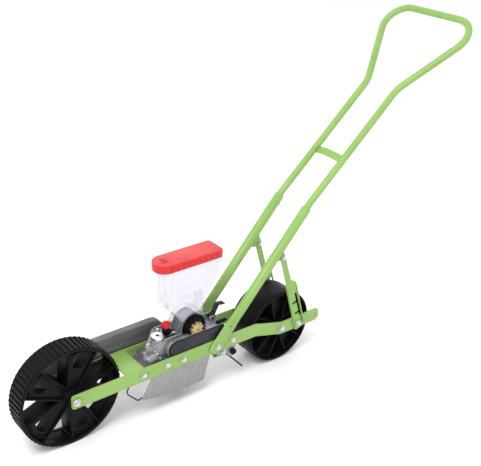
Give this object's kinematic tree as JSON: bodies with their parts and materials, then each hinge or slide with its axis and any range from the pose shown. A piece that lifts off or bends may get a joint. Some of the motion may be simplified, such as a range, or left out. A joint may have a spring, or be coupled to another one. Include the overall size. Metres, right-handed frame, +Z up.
{
  "type": "push seeder",
  "caption": "Walk-behind push seeder: a drive wheel turns a chain-driven seed roller under a clear hopper, with soil tools, a rear press wheel and an adjustable push handle.",
  "frame": {"origin": "centre of the bounding box on the ground", "axes": "+X from the front drive wheel to the push handle, +Z up, the machine's left side towards -Y"},
  "size_m": [1.4049, 0.3196, 0.9669],
  "materials": {
    "green_paint": "semi-gloss powder coat",
    "black_plastic": "fine-textured moulded plastic",
    "cast_aluminium": "raw die-cast surface",
    "slate_plastic": "fine-textured slate grey",
    "guard_plastic": "fine-textured dark grey",
    "zinc": "bright zinc plate",
    "galvanised": "galvanised sheet and wire",
    "dark_steel": "blackened, lightly oiled",
    "brass": "dull",
    "clear_plastic": "clear, glossy",
    "red_plastic": "moulded, glossy"
  },
  "bodies": {
    "frame": {"left_frame_bar": "green_paint", "right_frame_bar": "green_paint", "scraper_plate": "green_paint", "gate_base": "black_plastic", "seeder_body": "cast_aluminium", "chain_case": "cast_aluminium", "chain_cover": "slate_plastic", "chain_guard": "guard_plastic", "chain_guard_back": "guard_plastic", "rear_axle": "zinc", "clamp_nut": "zinc", "tine_bolt": "zinc", "left_plate_bolt": "zinc", "left_body_bolt_front": "zinc", "left_body_bolt_rear": "zinc", "left_bracket_bolt": "zinc", "left_pivot_bolt": "zinc", "right_plate_bolt": "zinc", "right_body_bolt_front": "zinc", "right_body_bolt_rear": "zinc", "right_bracket_bolt": "zinc", "right_pivot_bolt": "zinc", "left_skirt": "galvanised", "right_skirt": "galvanised", "skirt_wire": "galvanised", "left_tine_bracket": "galvanised", "right_tine_bracket": "galvanised", "drive_chain": "dark_steel", "spacing_chain": "dark_steel", "opener_shoe": "dark_steel", "bracket_tie_rod": "dark_steel", "roller_housing": "clear_plastic"},
    "front_wheel": {"front_wheel": "black_plastic", "front_axle": "zinc", "drive_sprocket": "dark_steel"},
    "drive_shaft": {"drive_shaft": "zinc", "shaft_sprocket": "dark_steel", "spacing_sprocket_front": "dark_steel"},
    "spacing_sprocket": {"spacing_sprocket_rear": "dark_steel"},
    "seed_roller": {"seed_roller": "black_plastic", "roller_star": "brass"},
    "rear_wheel": {"rear_wheel": "black_plastic"},
    "hopper": {"hopper": "clear_plastic"},
    "hopper_lid": {"hopper_lid": "red_plastic"},
    "gate_knob": {"gate_knob": "red_plastic"},
    "hopper_latch": {"hopper_latch": "dark_steel"},
    "case_catch": {"case_catch": "black_plastic"},
    "tine": {"tine": "dark_steel"},
    "handle_lower": {"left_lower_tube": "green_paint", "right_lower_tube": "green_paint", "left_clamp_screw": "zinc", "right_clamp_screw": "zinc", "left_strut_top_bolt": "zinc", "right_strut_top_bolt": "zinc"},
    "handle_upper": {"handle_loop": "green_paint", "cross_brace": "green_paint"},
    "struts": {"left_strut": "green_paint", "right_strut": "green_paint", "left_strut_bolt": "zinc", "right_strut_bolt": "zinc"}
  },
  "joints": [
    {"name": "front_wheel_spin", "type": "hinge", "parent": "frame", "child": "front_wheel", "pos_m": [-0.56248, 0, 0.14], "axis": [0, 1, 0], "continuous": true},
    {"name": "drive_shaft_spin", "type": "hinge", "parent": "frame", "child": "drive_shaft", "pos_m": [-0.25848, 0, 0.176], "axis": [0, 1, 0], "continuous": true},
    {"name": "spacing_sprocket_spin", "type": "hinge", "parent": "frame", "child": "spacing_sprocket", "pos_m": [-0.12248, 0, 0.176], "axis": [0, 1, 0], "continuous": true},
    {"name": "seed_roller_spin", "type": "hinge", "parent": "frame", "child": "seed_roller", "pos_m": [-0.18648, 0, 0.2115], "axis": [0, 1, 0], "continuous": true},
    {"name": "rear_wheel_spin", "type": "hinge", "parent": "frame", "child": "rear_wheel", "pos_m": [0.11052, 0, 0.1125], "axis": [0, 1, 0], "continuous": true},
    {"name": "hopper_lift", "type": "slide", "parent": "frame", "child": "hopper", "axis": [0, 0, 1], "range_m": [0, 0.08]},
    {"name": "lid_lift", "type": "slide", "parent": "hopper", "child": "hopper_lid", "axis": [0, 0, 1], "range_m": [0, 0.06]},
    {"name": "gate_knob_turn", "type": "hinge", "parent": "frame", "child": "gate_knob", "pos_m": [-0.25948, 0, 0.23], "axis": [0, 0, 1], "range_deg": [-90, 90]},
    {"name": "hopper_latch_swing", "type": "hinge", "parent": "frame", "child": "hopper_latch", "pos_m": [-0.11548, 0, 0.208], "axis": [0, 1, 0], "range_deg": [0, 25], "stiffness_Nm_per_rad": 0.3, "springref_deg": -8.59},
    {"name": "case_catch_lift", "type": "hinge", "parent": "frame", "child": "case_catch", "pos_m": [-0.11848, 0, 0.207], "axis": [0, 1, 0], "range_deg": [-40, 0]},
    {"name": "tine_swing", "type": "hinge", "parent": "frame", "child": "tine", "pos_m": [-0.10048, 0, 0.11], "axis": [0, 1, 0], "range_deg": [-20, 24]},
    {"name": "handle_tilt", "type": "hinge", "parent": "frame", "child": "handle_lower", "pos_m": [-0.12848, 0, 0.141], "axis": [0, 1, 0], "range_deg": [0, 15.6]},
    {"name": "handle_extend", "type": "slide", "parent": "handle_lower", "child": "handle_upper", "axis": [0.6596, 0, 0.7516], "range_m": [0, 0.06]},
    {"name": "strut_swing", "type": "hinge", "parent": "handle_lower", "child": "struts", "pos_m": [0.09752, 0, 0.35], "axis": [0, 1, 0], "range_deg": [-7.3, 0.1]}
  ],
  "couplings": [
    {"joint": "drive_shaft_spin", "follows": "front_wheel_spin", "ratio": 2.3333},
    {"joint": "spacing_sprocket_spin", "follows": "front_wheel_spin", "ratio": 2.3333},
    {"joint": "seed_roller_spin", "follows": "front_wheel_spin", "ratio": -1.1667},
    {"joint": "strut_swing", "follows": "handle_tilt", "ratio": -0.46}
  ]
}
